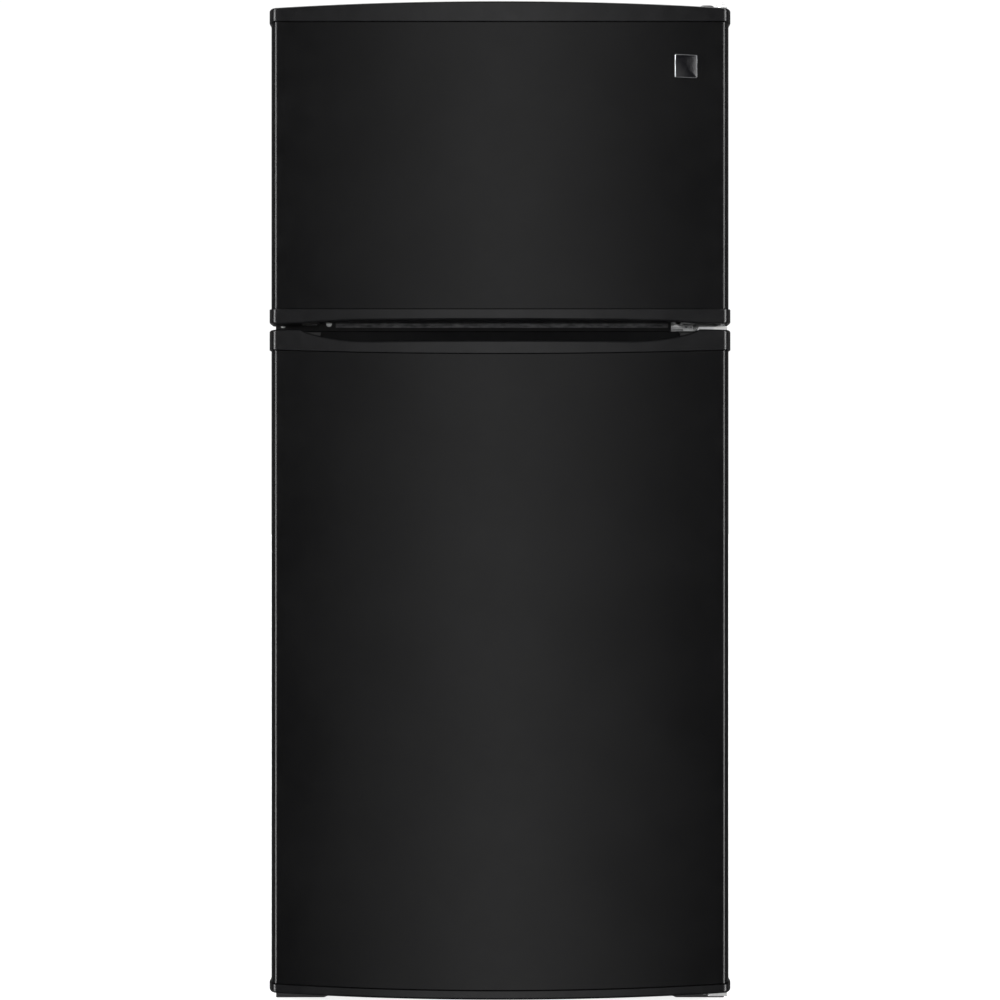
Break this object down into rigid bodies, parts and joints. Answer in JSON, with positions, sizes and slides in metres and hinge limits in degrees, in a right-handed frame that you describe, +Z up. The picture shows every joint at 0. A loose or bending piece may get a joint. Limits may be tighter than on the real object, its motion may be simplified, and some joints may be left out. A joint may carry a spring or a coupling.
{
  "type": "top freezer refrigerator",
  "caption": "Free-standing refrigerator with a freezer door above a fridge door, convex black fronts, finger pocket handles and right-hand hinges.",
  "frame": {"origin": "middle of the footprint on the floor, under the middle of the overall box", "axes": "+X to the user's right, +Y to the back, +Z up; the doors face -Y"},
  "size_m": [0.711, 0.727, 1.554],
  "materials": {
    "gloss_door": "gloss",
    "black_plastic": "satin",
    "black_panel": "satin",
    "zinc_steel": "satin",
    "white_plastic": "satin",
    "clear_plastic": "gloss",
    "glass": "polished",
    "foam": "matte",
    "seal": "matte",
    "aluminium": "satin",
    "chrome": "polished",
    "copper_plated_steel": "satin",
    "roller_rubber": "matte"
  },
  "bodies": {
    "cabinet": {"cabinet_shell": "black_panel", "rear_panel": "black_panel", "base_pan": "zinc_steel", "foam_left": "foam", "foam_right": "foam", "foam_rear": "foam", "foam_mullion": "foam", "foam_floor": "foam", "freezer_liner": "white_plastic", "fridge_liner": "white_plastic", "freezer_shelf": "white_plastic", "evaporator_cover": "white_plastic", "evaporator": "aluminium", "upper_shelf_frame": "white_plastic", "upper_shelf_glass": "glass", "lower_shelf_frame": "white_plastic", "lower_shelf_glass": "glass", "crisper_cover": "glass", "control_housing": "white_plastic", "light_shield": "clear_plastic", "light_bulb": "glass", "top_hinge": "zinc_steel", "top_hinge_cover": "black_plastic", "centre_hinge": "zinc_steel", "bottom_hinge": "zinc_steel", "foot_cover_left": "black_plastic", "foot_cover_right": "black_plastic", "toe_grille": "black_plastic", "compressor": "black_panel", "condenser_coil": "copper_plated_steel", "drain_pan": "black_plastic", "compressor_cover": "black_panel"},
    "freezer_door": {"freezer_door_skin": "gloss_door", "freezer_door_top_cap": "black_plastic", "freezer_door_bottom_cap": "black_plastic", "freezer_door_foam": "foam", "freezer_door_liner": "white_plastic", "freezer_door_gasket": "seal", "freezer_door_shelf": "white_plastic", "badge": "chrome"},
    "fridge_door": {"fridge_door_skin": "gloss_door", "fridge_door_top_cap": "black_plastic", "fridge_door_bottom_cap": "black_plastic", "fridge_door_foam": "foam", "fridge_door_liner": "white_plastic", "fridge_door_gasket": "seal", "door_bin_lower": "clear_plastic", "door_bin_middle": "clear_plastic", "dairy_tray": "clear_plastic"},
    "dairy_flap": {"dairy_flap": "clear_plastic"},
    "crisper_left": {"crisper_left": "clear_plastic"},
    "crisper_right": {"crisper_right": "clear_plastic"},
    "temperature_knob": {"temperature_knob": "white_plastic"},
    "light_switch_button": {"light_switch_button": "white_plastic"},
    "evaporator_fan": {"evaporator_fan": "black_plastic"},
    "condenser_fan": {"condenser_fan": "black_plastic"},
    "levelling_leg_left": {"levelling_leg_left": "black_plastic"},
    "levelling_leg_right": {"levelling_leg_right": "black_plastic"},
    "rear_roller_left": {"rear_roller_left": "roller_rubber"},
    "rear_roller_right": {"rear_roller_right": "roller_rubber"}
  },
  "joints": [
    {"name": "freezer_door_hinge", "type": "hinge", "parent": "cabinet", "child": "freezer_door", "pos_m": [0.342, -0.311, 1.3], "axis": [0, 0, 1], "range_deg": [0, 130]},
    {"name": "fridge_door_hinge", "type": "hinge", "parent": "cabinet", "child": "fridge_door", "pos_m": [0.342, -0.311, 0.53], "axis": [0, 0, 1], "range_deg": [0, 130]},
    {"name": "dairy_flap_hinge", "type": "hinge", "parent": "fridge_door", "child": "dairy_flap", "pos_m": [0, -0.21075, 0.972], "axis": [1, 0, 0], "range_deg": [0, 80]},
    {"name": "crisper_left_slide", "type": "slide", "parent": "cabinet", "child": "crisper_left", "axis": [0, -1, 0], "range_m": [0, 0.2]},
    {"name": "crisper_right_slide", "type": "slide", "parent": "cabinet", "child": "crisper_right", "axis": [0, -1, 0], "range_m": [0, 0.2]},
    {"name": "temperature_knob_turn", "type": "hinge", "parent": "cabinet", "child": "temperature_knob", "pos_m": [0, -0.156, 1.01], "axis": [0, -1, 0], "range_deg": [-135, 135]},
    {"name": "light_switch_travel", "type": "slide", "parent": "cabinet", "child": "light_switch_button", "axis": [0, 1, 0], "range_m": [0, 0.006], "stiffness_N_per_m": 150, "springref_m": -0.003},
    {"name": "evaporator_fan_spin", "type": "hinge", "parent": "cabinet", "child": "evaporator_fan", "pos_m": [0, 0.24, 1.4], "axis": [0, 1, 0], "continuous": true},
    {"name": "condenser_fan_spin", "type": "hinge", "parent": "cabinet", "child": "condenser_fan", "pos_m": [0.002, 0.245, 0.128], "axis": [1, 0, 0], "continuous": true},
    {"name": "levelling_leg_left_turn", "type": "hinge", "parent": "cabinet", "child": "levelling_leg_left", "pos_m": [-0.318, -0.258, 0.02], "axis": [0, 0, 1], "continuous": true},
    {"name": "levelling_leg_right_turn", "type": "hinge", "parent": "cabinet", "child": "levelling_leg_right", "pos_m": [0.318, -0.258, 0.02], "axis": [0, 0, 1], "continuous": true},
    {"name": "rear_roller_left_spin", "type": "hinge", "parent": "cabinet", "child": "rear_roller_left", "pos_m": [-0.3, 0.3, 0.02], "axis": [1, 0, 0], "continuous": true},
    {"name": "rear_roller_right_spin", "type": "hinge", "parent": "cabinet", "child": "rear_roller_right", "pos_m": [0.3, 0.3, 0.02], "axis": [1, 0, 0], "continuous": true}
  ],
  "couplings": [
    {"joint": "crisper_left_slide", "follows": "fridge_door_hinge", "m_per_rad": 0.088},
    {"joint": "crisper_right_slide", "follows": "fridge_door_hinge", "m_per_rad": 0.088}
  ]
}
